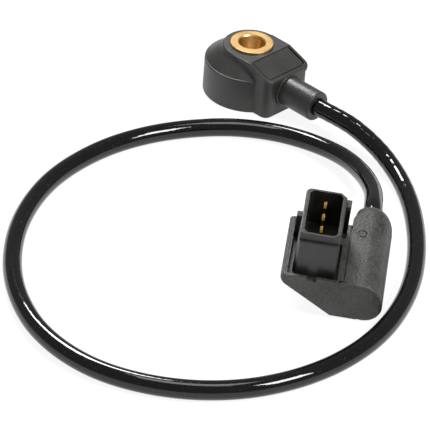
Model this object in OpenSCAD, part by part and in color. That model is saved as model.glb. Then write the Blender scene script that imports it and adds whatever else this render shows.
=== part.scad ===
/* [Bush] */
// Diameter of the through bore for an M8 bolt
bore_d = 8.4; // [8.2:0.1:8.8]
// Outer diameter of the bush, seen as the bright ring on top
bush_d = 14.2; // [13.6:0.1:14.6]
// Height of the bush from seating face to top ring
bush_h = 18.2; // [18:0.1:19]
// Diameter of the contact flange at the foot of the bush
foot_d = 22; // [20:0.5:23]
// Thickness of that contact flange
foot_h = 2.2; // [2:0.1:2.4]

/* [Housing] */
// Outer diameter of the round moulded body
body_d = 30.3; // [30:0.1:32]
// Height of the rim where the conical shoulder starts
rim_z = 12; // [11.8:0.1:12.4]
// Height of the flat boss round the bush
boss_z = 17.4; // [17:0.1:17.8]
// Radius of that boss
boss_r = 9.3; // [9:0.1:9.6]
// Half width of the block that carries the cable stub
block_w = 9.6; // [9:0.1:9.8]
// Distance from the bore axis to the block's end face
block_l = 17.2; // [17:0.1:17.5]
// Place where the block's flat top turns down into the sloping panel
fold_x = 8.2; // [7.8:0.1:8.6]
// Height of the sloping panel at its end
slope_end_z = 14.1; // [13.8:0.1:14.6]
// Height of the stub axis above the seating face
stub_z = 8.2; // [8:0.1:8.4]
// Diameter of the cable stub
stub_d = 10; // [9.6:0.1:10.4]
// Distance from the bore axis to the end of the stub
stub_end = 30.6; // [29:0.1:32]

/* [Sensing stack] */
// Outer diameter of the piezo ring and its contact discs
piezo_d = 22; // [20:0.5:22.5]
// Thickness of the piezo ring
piezo_h = 3; // [2.5:0.1:3.2]
// Thickness of each contact disc and insulating washer
foil_h = 0.4; // [0.3:0.05:0.5]
// Outer diameter of the seismic mass
mass_d = 24; // [22:0.5:24]
// Height of the seismic mass
mass_h = 4.8; // [4:0.1:5]

/* [Cable] */
// Outer diameter of the cable jacket
cable_d = 6; // [5.8:0.1:6.2]

/* [Connector] */
// Length of the back shell from its blunt end to the cable entry
shell_l = 39.5; // [39:0.5:41]
// Height of the back shell
shell_h = 13.5; // [13.3:0.1:13.7]
// Height of the socket shroud above the flange
shroud_h = 14.6; // [13:0.1:15]
// Outer width of the shroud, across the blades
shroud_w = 12.3; // [12:0.1:12.4]
// Outer length of the shroud, along the row of blades
shroud_l = 20.3; // [20:0.1:20.6]
// Thickness of the shroud's long walls
shroud_wall = 1.2; // [1.1:0.1:1.6]
// Thickness of the shroud's end walls
shroud_end_wall = 0.8; // [0.7:0.1:1.2]
// Spacing of the three blades
blade_pitch = 5.4; // [5:0.1:5.4]
// Width of a blade
blade_w = 2.8; // [2.6:0.1:2.8]
// Thickness of a blade
blade_t = 0.8; // [0.6:0.1:1]

/* [Hidden] */
$fn = 96;
eps = 0.01;
// Radial room between pieces that slide over each other
gap = 0.05;

// Bush and bore
bore_r = bore_d / 2;
bush_r = bush_d / 2;
bore_chamfer = 0.15;
bush_edge = 0.2;
recess = 0.3;

// Housing outline
body_r = body_d / 2;
body_draft = 0.1;
foot_edge = 0.4;
rim_groove = 0.15;
boss_side = 0.8;
boss_foot_z = boss_z - 1.5;
corner_r = 2.4;
lip_over = 0.6;
lip_h = 1.3;
panel_rim = 0.8;
panel_end_rim = 1.2;
panel_corner = 1.8;
panel_depth = 0.4;
slope_l = block_l + lip_over - fold_x;
slope_angle = atan((boss_z - slope_end_z) / slope_l);
stub_r = stub_d / 2;
stub_edge = 0.6;
collar_l = 0.8;
collar_r = stub_r + 0.7;
collar_edge = 0.3;

// Sensing stack, each level on the one below
sleeve_wall = 0.4;
sleeve_in = bush_r + gap;
sleeve_out = sleeve_in + sleeve_wall;
stack_in = sleeve_out + gap;
piezo_r = piezo_d / 2;
mass_r = mass_d / 2;
z_low_washer = foot_h;
z_low_disc = z_low_washer + foil_h;
z_piezo = z_low_disc + foil_h;
z_up_disc = z_piezo + piezo_h;
z_up_washer = z_up_disc + foil_h;
z_mass = z_up_washer + foil_h;
z_spring = z_mass + mass_h;
spring_h = 1;
spring_t = 0.6;
spring_r = 10.5;
z_nut = z_spring + spring_h;
nut_h = 2.4;
nut_r = 9.5;
nut_chamfer = 0.4;

// Tabs of the contact discs and the leads crimped in them
tab_w = 1.8;
tab_y = 1.5;
tab_rise_x = 13.4;
tab_end_x = 16.2;
crimp_in = 0.7;
crimp_out = 1.05;
crimp_l = 2.6;
lead_r = crimp_in;
ferrule_l = 3;
ferrule_wall = 0.5;

// Cable jacket
cable_r = cable_d / 2;
jacket_sides = 12;
// Route of the jacket on the surface, from the stub to the connector
route = [
  [24, 0, 8.2], [31, 0, 8.2], [44.7, 1.2, 7.4], [58, 0, 5.3], [70.5, -4.3, 3.4], [82, -11.6, 3],
  [92.7, -20.8, 3], [102.4, -31, 3], [110.9, -42.2, 3], [117.7, -54.2, 3], [122.6, -67, 3],
  [125.1, -80.4, 3], [125, -94.3, 3], [122.1, -107.9, 3], [116.4, -120.6, 3], [107.8, -131.6, 3],
  [96.8, -140.2, 3], [84.2, -145.8, 3], [70.9, -147.6, 3], [57.4, -145.9, 3], [44.7, -141, 3],
  [33, -133.7, 3], [22.6, -124.4, 3], [13.7, -113.6, 3], [6.6, -101.5, 3], [1.7, -88.6, 3],
  [-0.6, -75, 3], [-0.4, -61.1, 3], [2.8, -47.3, 3], [8.8, -34.5, 3], [17.1, -23.5, 3],
  [27.6, -15.4, 3], [39.9, -11.2, 3.5], [53.2, -11.7, 5.2], [66.2, -16.9, 7.7],
  [77.9, -25.2, 10.6], [87, -35.3, 13.1], [92.1, -41.9, 11.95]
];

// Connector place: foot of its blunt end on the surface, and its turn and tilt
conn_at = [105.84, -72.89, 0.95];
conn_turn = 37.9;
conn_tilt = 8;
conn_roll = 3;
// Back shell in the connector's own frame: x across, y from the blunt end, z along the blades
flange_x = -16.4;
flange_y = 26;
flange_low = [[-16.4, 11.4], [-15.1, 9.9], [-0.2, 0]];
flange_near_r = 2.2;
flange_far_r = 1.5;
seam_x = 2.2;
seam_w = 0.3;
barrel_x = 7.85;
barrel_r = shell_h / 2;
barrel_l = 33;
heel_r = 5.6;
heel_x = 9.2;
heel_z = 5.1;
end_chamfer = 0.8;
neck_r = cable_r + 0.35;
neck_l = 1;
waist = [[4.4, 39.6], [3.8, 36.8], [3.2, 34.4], [3.2, 26]];
shell_in_y = 34;
lip_x = -15.4;
lip_w = 0.7;
lip_up = 0.4;
notch_x = -8.6;
notch_w = 2.8;
notch_z = 12.3;
// Room for the socket's plate, and the trench that is left round the shroud
well_x = -14.6;
well_y = 1;
well_right = 0.3;
well_step_y = 16.6;
well_far_y = 25.2;
plate_z = 10.4;
plate_t = 1.5;
// Pocket for the leads
pocket_x = -8.5;
pocket_y = 6;
pocket_z = 7;
pocket_far_y = 20.4;
pocket_over = 2.8;
// Socket
shroud_x = -12.8;
shroud_y = 2.9;
shroud_r = 1.1;
opening_r = 1.7;
shroud_bevel = 2.4;
bevel_z = 24.8;
pad_out = 0.4;
pad_z = 25.2;
draft_out = 0.6;
socket_floor = 2;
stop_y = 19.7;
stop_w = 1.6;
right_stop_l = 3.3;
right_stop_z = 26;
left_stop_l = 2.5;
left_stop_z = 20;
slot_in = 0.25;
slot_w = 1.1;
slot_z = 15;
slot_top = 1.4;
slot_floor = 0.8;
// Blades and the leads crimped to them
blade_x = shroud_x + shroud_w / 2;
blade_y = 13.2;
blade_sink = 1.2;
blade_tip = 0.6;
tail_w = 1.8;
core_r = 0.7;
lead_z = 8.3;
lead_gap = 1.5;
ferrule_gap = 0.3;

module sensor_housing() {
  color("#3b3c3c") difference() {
    union() {
      round_body();
      block();
      stub();
    }
    panel_recess();
    stack_space();
    lead_space();
  }
}

module round_body() {
  wall_r = body_r - body_draft;
  rotate_extrude() polygon([
    [0, recess], [body_r - foot_edge, recess], [body_r, recess + foot_edge],
    [wall_r, rim_z - 3 * rim_groove], [wall_r - rim_groove, rim_z - 2 * rim_groove],
    [wall_r - rim_groove, rim_z], [boss_r + boss_side, boss_foot_z],
    [boss_r + boss_side / 2, boss_z - boss_side / 4], [boss_r, boss_z], [0, boss_z]
  ]);
}

module block() {
  intersection() {
    union() {
      translate([0, 0, recess]) linear_extrude(boss_z - recess) block_plan(block_l);
      intersection() {
        translate([0, 0, recess]) linear_extrude(boss_z) block_plan(block_l + lip_over);
        across(block_w + 1) roof_band();
      }
    }
    across(block_w + 1) side_outline();
  }
}

// Plan of the block: square at the bush and round at its two far corners
module block_plan(l) {
  translate([0, -block_w]) square([l - corner_r, 2 * block_w]);
  translate([0, corner_r - block_w]) square([l, 2 * (block_w - corner_r)]);
  for (side = [-1, 1]) translate([l - corner_r, side * (block_w - corner_r)]) circle(corner_r);
}

module side_outline() {
  polygon([
    [0, 0], [block_l + lip_over, 0], [block_l + lip_over, slope_end_z], [fold_x, boss_z],
    [0, boss_z]
  ]);
}

module roof_band() {
  polygon([
    [0, boss_z - lip_h], [fold_x, boss_z - lip_h], [block_l + lip_over + eps, slope_end_z - lip_h],
    [block_l + lip_over + eps, boss_z], [0, boss_z]
  ]);
}

// Stands a side outline up and gives it a width each side of the middle
module across(half) {
  rotate([90, 0, 0]) linear_extrude(2 * half, center = true) children();
}

module panel_recess() {
  half = block_w - panel_rim;
  l = slope_l / cos(slope_angle) - panel_end_rim;
  translate([fold_x, 0, boss_z]) rotate([0, slope_angle, 0]) translate([0, 0, -panel_depth])
    linear_extrude(2) {
      translate([0, -half]) square([l - panel_corner, 2 * half]);
      translate([0, panel_corner - half]) square([l, 2 * (half - panel_corner)]);
      for (side = [-1, 1]) translate([l - panel_corner, side * (half - panel_corner)])
        circle(panel_corner);
    }
}

module stub() {
  translate([0, 0, stub_z]) rotate([0, 90, 0]) rotate_extrude() polygon([
    [0, block_l - corner_r], [collar_r, block_l - corner_r],
    [collar_r, block_l + collar_l - collar_edge], [collar_r - collar_edge, block_l + collar_l],
    [stub_r, block_l + collar_l],
    [stub_r, stub_end - stub_edge], [stub_r - stub_edge, stub_end], [0, stub_end]
  ]);
}

// Room inside the moulding for the bush and the stack on it
module stack_space() {
  cylinder(h = bush_h, r = bush_r);
  translate([0, 0, -eps]) cylinder(h = foot_h + eps, r = foot_d / 2);
  translate([0, 0, foot_h - eps]) cylinder(h = z_mass - foot_h + 2 * eps, r = piezo_r + gap);
  translate([0, 0, z_mass]) cylinder(h = mass_h, r = mass_r + gap);
  translate([0, 0, z_spring - eps]) cylinder(h = spring_h + 2 * eps, r = spring_r + gap);
  translate([0, 0, z_nut]) cylinder(h = nut_h + gap, r = nut_r + gap);
}

// Room in the block and the stub for tabs, leads, ferrule and jacket
module lead_space() {
  for (side = [-1, 1]) {
    low = side < 0 ? z_low_disc : z_up_disc;
    tab(side, low, gap);
    along(tab_end_x - gap, side * tab_y)
      cylinder(h = crimp_l + 2 * gap, r = crimp_out + gap);
    along(tab_end_x, side * tab_y)
      cylinder(h = route[0][0] - tab_end_x, r = lead_r + gap);
  }
  along(route[0][0], 0) cylinder(h = stub_end - route[0][0] + eps, r = cable_r + gap);
  along(route[0][0], 0) cylinder(h = ferrule_l, r = cable_r + gap + ferrule_wall);
}

// Puts a turned shape along X at the stub's height
module along(x, y) {
  translate([x, y, stub_z]) rotate([0, 90, 0]) children();
}

// Strip that leaves a contact disc, climbs to the stub's height and runs on to its lead
module tab(side, low, grow) {
  top = stub_z - lead_r;
  flat_low = top - foil_h;
  translate([0, side * tab_y, 0]) across(tab_w / 2 + grow) polygon([
    [piezo_r - tab_w, low - grow], [tab_rise_x + foil_h + grow, low - grow],
    [tab_rise_x + foil_h + grow, flat_low - grow], [tab_end_x + foil_h, flat_low - grow],
    [tab_end_x + foil_h, top + grow], [tab_rise_x - grow, top + grow],
    [tab_rise_x - grow, low + foil_h + grow], [piezo_r - tab_w, low + foil_h + grow]
  ]);
}

module brass_bush() {
  color("#d9ac5c") rotate_extrude() polygon([
    [bore_r, 0], [foot_d / 2 - bush_edge, 0], [foot_d / 2, bush_edge],
    [foot_d / 2, foot_h], [bush_r, foot_h], [bush_r, bush_h - bush_edge],
    [bush_r - bush_edge, bush_h], [bore_r + bore_chamfer, bush_h],
    [bore_r, bush_h - bore_chamfer]
  ]);
}

module ring(low, high, inner, outer) {
  translate([0, 0, low]) difference() {
    cylinder(h = high - low, r = outer);
    translate([0, 0, -eps]) cylinder(h = high - low + 2 * eps, r = inner);
  }
}

module insulating_sleeve() {
  color("#e3dccb") ring(foot_h, z_nut, sleeve_in, sleeve_out);
}

module lower_insulating_washer() {
  color("#b9832f") ring(z_low_washer, z_low_disc, stack_in, piezo_r);
}

module upper_insulating_washer() {
  color("#b9832f") ring(z_up_washer, z_mass, stack_in, piezo_r);
}

module contact_disc(side, low) {
  color("#c9b27a") difference() {
    union() {
      ring(low, low + foil_h, stack_in, piezo_r);
      tab(side, low, 0);
      along(tab_end_x, side * tab_y) cylinder(h = crimp_l, r = crimp_out);
    }
    along(tab_end_x - eps, side * tab_y) cylinder(h = crimp_l + 2 * eps, r = crimp_in);
  }
}

module lower_contact_disc() {
  contact_disc(-1, z_low_disc);
}

module upper_contact_disc() {
  contact_disc(1, z_up_disc);
}

module piezo_ring() {
  color("#efe9da") ring(z_piezo, z_up_disc, stack_in, piezo_r);
}

module seismic_mass() {
  color("#8d9094") ring(z_mass, z_spring, stack_in, mass_r);
}

module disc_spring() {
  lift = spring_h - spring_t;
  color("#6f7478") translate([0, 0, z_spring]) rotate_extrude() polygon([
    [stack_in, lift], [spring_r, 0], [spring_r, spring_t], [stack_in, spring_h]
  ]);
}

module clamping_nut() {
  color("#9a9da1") translate([0, 0, z_nut]) difference() {
    rotate_extrude() polygon([
      [bush_r, 0], [nut_r, 0], [nut_r, nut_h - nut_chamfer], [nut_r - nut_chamfer, nut_h],
      [bush_r, nut_h]
    ]);
    for (turn = [0:90:270]) rotate([0, 0, turn]) translate([nut_r - 1, -1, nut_h / 2])
      cube([2, 2, nut_h]);
  }
}

module sensor_lead(side) {
  along(tab_end_x, side * tab_y) cylinder(h = route[0][0] - tab_end_x, r = lead_r);
}

module signal_lead() {
  color("#b0332a") sensor_lead(-1);
}

module return_lead() {
  color("#e8e6e0") sensor_lead(1);
}

module stub_crimp_ferrule() {
  color("#a8a9a6") along(route[0][0], 0) ferrule(ferrule_l);
}

// Crimped ring round the jacket, standing on its lower face
module ferrule(l) {
  difference() {
    cylinder(h = l, r = cable_r + gap + ferrule_wall);
    translate([0, 0, -eps]) cylinder(h = l + 2 * eps, r = cable_r + gap);
  }
}

// Unit vector
function unit(v) = v / norm(v);

// Direction of the route at point i
function heading(i) =
  unit(route[min(i + 1, len(route) - 1)] - route[max(i - 1, 0)]);

// One ring of the jacket, square to the route
function jacket_ring(i) =
  let (ahead = heading(i), side = unit(cross(ahead, [0, 0, 1])), up = cross(side, ahead))
  [for (k = [0:jacket_sides - 1]) let (a = 360 * k / jacket_sides)
    route[i] + cable_r * (cos(a) * side + sin(a) * up)];

module cable_jacket() {
  rings = len(route);
  n = jacket_sides;
  points = [for (i = [0:rings - 1]) each jacket_ring(i)];
  walls = [for (i = [0:rings - 2], k = [0:n - 1])
    let (a = i * n + k, b = i * n + (k + 1) % n) [a, b, b + n, a + n]];
  near_end = [for (k = [0:n - 1]) n - 1 - k];
  far_end = [for (k = [0:n - 1]) (rings - 1) * n + k];
  color("#1c1d1e") polyhedron(points, concat(walls, [near_end, far_end]));
}

// Moves a shape from the connector's own frame to where it lies
module in_connector() {
  translate(conn_at) rotate([0, 0, conn_turn]) rotate([conn_tilt, 0, 0])
    rotate([0, conn_roll, 0]) children();
}

// Puts a turned shape along the connector's length, at the height of the jacket
module down_barrel(x, y, z) {
  translate([x, y, z]) rotate([-90, 0, 0]) children();
}

module connector_back_shell() {
  color("#3e3f40") in_connector() difference() {
    intersection() {
      union() {
        barrel();
        heel();
        wedge();
      }
      linear_extrude(3 * shell_h, center = true) shell_plan();
    }
    well(gap);
    lead_pocket();
    seam();
    notch();
    down_barrel(barrel_x, shell_in_y - eps, barrel_r)
      cylinder(h = shell_l - shell_in_y + 2 * eps, r = cable_r + 2 * gap);
    down_barrel(barrel_x, shell_in_y + ferrule_gap, barrel_r)
      cylinder(h = ferrule_l, r = cable_r + gap + ferrule_wall);
  }
}

module barrel() {
  swell = barrel_r - neck_r;
  reach = shell_l - neck_l - barrel_l;
  down_barrel(barrel_x, 0, barrel_r) rotate_extrude() polygon(concat(
    [[0, 0], [barrel_r - end_chamfer, 0], [barrel_r, end_chamfer]],
    [for (a = [0:15:90]) [neck_r + swell * cos(a), barrel_l + reach * sin(a)]],
    [[neck_r, shell_l], [0, shell_l]]
  ));
}

// Fuller lower corner of the barrel
module heel() {
  down_barrel(heel_x, 0, heel_z) rotate_extrude() polygon([
    [0, 0], [heel_r - end_chamfer, 0], [heel_r, end_chamfer], [heel_r, barrel_l],
    [0, barrel_l + heel_r / 2]
  ]);
}

// Section that thins from the barrel to the flange's outer edge, with its raised lip
module wedge() {
  translate([0, flange_y, 0]) rotate([90, 0, 0]) linear_extrude(flange_y) polygon(concat(
    [[flange_x, shell_h]], flange_low, [[barrel_x, 0], [barrel_x, shell_h]]
  ));
  translate([barrel_x - barrel_r / 2, 0, barrel_r])
    cube([barrel_r / 2, barrel_l, shell_h - barrel_r]);
  translate([lip_x, well_y + flange_near_r, shell_h - eps])
    cube([lip_w, well_far_y - well_y - flange_near_r, lip_up]);
}

// Outline of the back shell seen along the blades
module shell_plan() {
  polygon(concat([
    [flange_x, flange_near_r], [flange_x + flange_near_r, 0], [-flange_x, 0],
    [-flange_x, shell_l + eps]], waist, [
    [flange_x + flange_far_r, flange_y], [flange_x, flange_y - flange_far_r]
  ]));
  translate([flange_x + flange_near_r, flange_near_r]) circle(flange_near_r);
  translate([flange_x + flange_far_r, flange_y - flange_far_r]) circle(flange_far_r);
}

module seam() {
  translate([seam_x, well_y, shell_h - seam_w])
    cube([seam_w, flange_y - well_y, 2 * seam_w]);
}

module notch() {
  translate([notch_x, -eps, notch_z]) cube([notch_w, well_y + 2 * eps, shell_h - notch_z + eps]);
}

// Rectangle with round corners, as exact circles and squares
module rounded(x, y, w, l, r) {
  translate([x + r, y]) square([w - 2 * r, l]);
  translate([x, y + r]) square([w, l - 2 * r]);
  for (cx = [x + r, x + w - r], cy = [y + r, y + l - r]) translate([cx, cy]) circle(r);
}

// Outline of the well that the socket sits in
module well_plan(grow) {
  translate([well_x - grow, well_y - grow])
    square([well_right - well_x + 2 * grow, well_step_y - well_y + 2 * grow]);
  translate([well_x - grow, well_y - grow])
    square([shroud_x + shroud_w - well_x + 2 * grow, well_far_y - well_y + 2 * grow]);
}

module well(grow) {
  translate([0, 0, plate_z - grow]) linear_extrude(shell_h + lip_up - plate_z + 2 * grow)
    well_plan(grow);
}

module lead_pocket() {
  h = plate_z - pocket_z;
  translate([pocket_x, pocket_y, pocket_z])
    cube([barrel_x + pocket_over - pocket_x, pocket_far_y - pocket_y, h]);
  translate([barrel_x - pocket_over, pocket_y, pocket_z])
    cube([2 * pocket_over, shell_in_y - pocket_y, h]);
}

module connector_socket() {
  color("#343536") in_connector() difference() {
    union() {
      translate([0, 0, plate_z]) linear_extrude(plate_t) well_plan(0);
      shroud();
      stops();
    }
    socket_opening();
    blade_slots();
  }
}

module shroud() {
  translate([0, 0, plate_z]) linear_extrude(bevel_z - plate_z) shroud_plan();
  translate([0, 0, bevel_z - eps]) linear_extrude(shell_h + shroud_h - bevel_z + eps)
    difference() {
      shroud_plan();
      translate([shroud_x + shroud_w, shroud_y]) rotate(45) square(shroud_bevel, center = true);
    }
  // pad on the near face and the drafted foot of the left wall
  translate([shroud_x + shroud_r / 2, 0, 0]) rotate([90, 0, 90])
    linear_extrude(shroud_w - shroud_r / 2) polygon([
      [shroud_y + shroud_r, plate_z], [shroud_y - pad_out, plate_z],
      [shroud_y - pad_out, pad_z - pad_out], [shroud_y, pad_z], [shroud_y + shroud_r, pad_z]
    ]);
  translate([0, stop_y + eps, 0]) rotate([90, 0, 0]) linear_extrude(stop_y - shroud_y - shroud_r)
    polygon([
      [shroud_x + eps, right_stop_z], [shroud_x - draft_out, plate_z], [shroud_x + eps, plate_z]
    ]);
}

module shroud_plan() {
  rounded(shroud_x, shroud_y, shroud_w, shroud_l, shroud_r);
}

// Stop blocks beside the shroud, the right one hollow
module stops() {
  right = shroud_x + shroud_w;
  low = shell_h + gap;
  difference() {
    translate([right - eps, stop_y, low]) cube([stop_w, right_stop_l, right_stop_z - low]);
    translate([right + slot_in, stop_y - eps, slot_z])
      cube([slot_w, right_stop_l - slot_floor, right_stop_z - slot_z - slot_top]);
  }
  translate([shroud_x - stop_w + draft_out / 2, stop_y - draft_out, plate_z])
    cube([stop_w, left_stop_l, left_stop_z - plate_z]);
}

module socket_opening() {
  translate([0, 0, shell_h + socket_floor]) linear_extrude(shroud_h) rounded(
    shroud_x + shroud_wall, shroud_y + shroud_end_wall, shroud_w - 2 * shroud_wall,
    shroud_l - 2 * shroud_end_wall, opening_r
  );
}

module blade_slots() {
  for (i = [-1:1]) translate([blade_x - blade_t / 2, blade_y + i * blade_pitch - blade_w / 2, 0])
    cube([blade_t, blade_w, shell_h + socket_floor + 1]);
}

// Flat blade with a bevelled tip, a narrower tail and a crimp round its lead
module blade_terminal(i) {
  y = blade_y + (i - 2) * blade_pitch;
  tip = shell_h + shroud_h - blade_sink;
  foot = plate_z;
  color("#d8b25a") in_connector() difference() {
    union() {
      translate([blade_x + blade_t / 2, y, 0]) rotate([90, 0, -90]) linear_extrude(blade_t)
        polygon([
          [-blade_w / 2, foot], [-tail_w / 2, foot], [-tail_w / 2, lead_z],
          [tail_w / 2, lead_z], [tail_w / 2, foot], [blade_w / 2, foot],
          [blade_w / 2, tip - blade_tip], [blade_w / 2 - blade_tip, tip],
          [blade_tip - blade_w / 2, tip], [-blade_w / 2, tip - blade_tip]
        ]);
      translate([blade_x - blade_t / 2, y, lead_z]) rotate([0, 90, 0])
        cylinder(h = crimp_l, r = crimp_out);
    }
    translate([blade_x, y, lead_z]) rotate([0, 90, 0]) cylinder(h = crimp_l, r = core_r);
  }
}

module blade_terminal_1() {
  blade_terminal(1);
}

module blade_terminal_2() {
  blade_terminal(2);
}

module blade_terminal_3() {
  blade_terminal(3);
}

// Lead from a blade's crimp across the pocket and along the barrel to the jacket
module connector_lead(i) {
  y = blade_y + (i - 2) * blade_pitch;
  x = barrel_x + (2 - i) * lead_gap;
  in_connector() {
    translate([blade_x, y, lead_z]) rotate([0, 90, 0]) cylinder(h = x - blade_x, r = core_r);
    translate([x, y, lead_z]) sphere(core_r);
    down_barrel(x, y, lead_z) cylinder(h = shell_in_y - y, r = core_r);
  }
}

module connector_lead_1() {
  color("#b0332a") connector_lead(1);
}

module connector_lead_2() {
  color("#e8e6e0") connector_lead(2);
}

module connector_lead_3() {
  color("#a9aaa8") connector_lead(3);
}

module connector_crimp_ferrule() {
  color("#a8a9a6") in_connector() down_barrel(barrel_x, shell_in_y + ferrule_gap, barrel_r)
    ferrule(ferrule_l);
}

sensor_housing();
brass_bush();
insulating_sleeve();
lower_insulating_washer();
lower_contact_disc();
piezo_ring();
upper_contact_disc();
upper_insulating_washer();
seismic_mass();
disc_spring();
clamping_nut();
signal_lead();
return_lead();
stub_crimp_ferrule();
cable_jacket();
connector_back_shell();
connector_socket();
connector_crimp_ferrule();
blade_terminal_1();
blade_terminal_2();
blade_terminal_3();
connector_lead_1();
connector_lead_2();
connector_lead_3();
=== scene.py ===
"""Looks of an engine knock sensor: finishes, cable, rounded mouldings, light and camera."""

from __future__ import annotations

import logging
import math
import sys
from collections.abc import Callable
from dataclasses import dataclass, field
from enum import Enum

import bpy
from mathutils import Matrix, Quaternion, Vector

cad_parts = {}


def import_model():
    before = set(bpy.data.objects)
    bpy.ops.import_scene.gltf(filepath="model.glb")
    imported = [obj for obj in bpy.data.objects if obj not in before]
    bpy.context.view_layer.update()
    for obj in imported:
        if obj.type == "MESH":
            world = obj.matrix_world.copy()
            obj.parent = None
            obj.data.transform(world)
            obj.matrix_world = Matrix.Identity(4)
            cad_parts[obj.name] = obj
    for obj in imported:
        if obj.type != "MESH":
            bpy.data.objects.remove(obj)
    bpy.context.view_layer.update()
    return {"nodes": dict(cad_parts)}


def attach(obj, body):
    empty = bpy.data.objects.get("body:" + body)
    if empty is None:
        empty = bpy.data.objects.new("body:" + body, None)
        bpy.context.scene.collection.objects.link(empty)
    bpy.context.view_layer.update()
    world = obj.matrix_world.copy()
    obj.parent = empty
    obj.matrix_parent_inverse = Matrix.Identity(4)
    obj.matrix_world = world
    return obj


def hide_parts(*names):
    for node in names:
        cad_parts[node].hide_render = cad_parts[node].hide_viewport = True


LOG = logging.getLogger("knock_sensor")
MM = 0.001

# Route of the cable jacket, as in the part's source, in millimetres
ROUTE_MM: tuple[tuple[float, float, float], ...] = (
    (24, 0, 8.2), (31, 0, 8.2), (44.7, 1.2, 7.4), (58, 0, 5.3), (70.5, -4.3, 3.4),
    (82, -11.6, 3), (92.7, -20.8, 3), (102.4, -31, 3), (110.9, -42.2, 3), (117.7, -54.2, 3),
    (122.6, -67, 3), (125.1, -80.4, 3), (125, -94.3, 3), (122.1, -107.9, 3),
    (116.4, -120.6, 3), (107.8, -131.6, 3), (96.8, -140.2, 3), (84.2, -145.8, 3),
    (70.9, -147.6, 3), (57.4, -145.9, 3), (44.7, -141, 3), (33, -133.7, 3),
    (22.6, -124.4, 3), (13.7, -113.6, 3), (6.6, -101.5, 3), (1.7, -88.6, 3), (-0.6, -75, 3),
    (-0.4, -61.1, 3), (2.8, -47.3, 3), (8.8, -34.5, 3), (17.1, -23.5, 3), (27.6, -15.4, 3),
    (39.9, -11.2, 3.5), (53.2, -11.7, 5.2), (66.2, -16.9, 7.7), (77.9, -25.2, 10.6),
    (87, -35.3, 13.1), (92.1, -41.9, 11.95),
)


def linear(hex_colour: str) -> tuple[float, float, float, float]:
    """Turns an sRGB hex colour to linear light.

    Args:
        hex_colour: Six hex digits after a hash sign.

    Returns:
        Red, green, blue and an alpha of one.
    """
    channels = [int(hex_colour[i : i + 2], 16) / 255 for i in (1, 3, 5)]
    red, green, blue = (
        c / 12.92 if c <= 0.04045 else ((c + 0.055) / 1.055) ** 2.4 for c in channels
    )
    return red, green, blue, 1.0


def add_node(
    tree: bpy.types.NodeTree,
    kind: str,
    settings: dict[str, object] | None = None,
    values: dict[str | int, object] | None = None,
    links: dict[str | int, bpy.types.NodeSocket] | None = None,
) -> bpy.types.Node:
    """Adds one shader node.

    Args:
        tree: Tree that gets the node.
        kind: Type name of the node.
        settings: Attributes to set on the node.
        values: Default values by input name or number.
        links: Sockets to plug in, by input name or number.

    Returns:
        The new node.
    """
    node = tree.nodes.new(kind)
    for key, value in (settings or {}).items():
        setattr(node, key, value)
    for key, value in (values or {}).items():
        node.inputs[key].default_value = value
    for key, socket in (links or {}).items():
        tree.links.new(socket, node.inputs[key])
    return node


def new_material(name: str) -> tuple[bpy.types.Material, bpy.types.NodeTree, bpy.types.Node]:
    """Starts a material with a bare surface shader.

    Args:
        name: Name of the material.

    Returns:
        The material, its tree and its surface shader.
    """
    material = bpy.data.materials.new(name)
    material.use_nodes = True
    return material, material.node_tree, material.node_tree.nodes["Principled BSDF"]


def ramp(
    tree: bpy.types.NodeTree, factor: bpy.types.NodeSocket, stops: list[tuple[float, str]]
) -> bpy.types.NodeSocket:
    """Colours a pattern by a row of hex stops.

    Args:
        tree: Tree that gets the node.
        factor: Pattern's value.
        stops: Place and hex colour of each stop.

    Returns:
        The colour socket.
    """
    node = add_node(tree, "ShaderNodeValToRGB", links={"Fac": factor})
    band = node.color_ramp
    while len(band.elements) < len(stops):
        band.elements.new(0.5)
    for element, (place, colour) in zip(band.elements, stops):
        element.position = place
        element.color = linear(colour)
    return node.outputs["Color"]


class Grain(Enum):
    """How a mould's steel was finished, by the size in millimetres of its marks."""

    SATIN = 0.55
    SPARKED = 0.7
    POLISHED = 1.6


@dataclass(frozen=True)
class MouldedNylon:
    """Glass-filled nylon, injection moulded: dark, half matt, with grain from the mould."""

    name: str
    shade: str
    light_shade: str
    roughness: float
    grain: Grain
    grain_depth: float
    flow_mm: float = 9.0

    def material(self) -> bpy.types.Material:
        """Builds the material. The grain is drawn coarser than real so that it shows."""
        material, tree, surface = new_material(self.name)
        place = add_node(tree, "ShaderNodeTexCoord").outputs["Object"]
        flow = add_node(
            tree, "ShaderNodeTexNoise",
            values={"Scale": 1 / (self.flow_mm * MM), "Detail": 4.0, "Roughness": 0.6},
            links={"Vector": place},
        ).outputs["Fac"]
        grit = add_node(
            tree, "ShaderNodeTexNoise",
            values={"Scale": 1 / (self.grain.value * MM), "Detail": 3.0, "Roughness": 0.65},
            links={"Vector": place},
        ).outputs["Fac"]
        both = add_node(
            tree, "ShaderNodeMix", {"data_type": "FLOAT"}, {0: 0.5}, {2: flow, 3: grit}
        ).outputs[0]
        colour = ramp(tree, both, [(0.38, self.shade), (0.66, self.light_shade)])
        tree.links.new(colour, surface.inputs["Base Color"])
        gloss = add_node(
            tree, "ShaderNodeMapRange",
            values={1: 0.35, 2: 0.65, 3: self.roughness - 0.06, 4: self.roughness + 0.08},
            links={0: both},
        ).outputs[0]
        tree.links.new(gloss, surface.inputs["Roughness"])
        bump = add_node(
            tree, "ShaderNodeBump",
            values={"Strength": 1.0, "Distance": self.grain_depth * MM},
            links={"Height": grit},
        ).outputs["Normal"]
        tree.links.new(bump, surface.inputs["Normal"])
        surface.inputs["IOR"].default_value = 1.53
        return material


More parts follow.
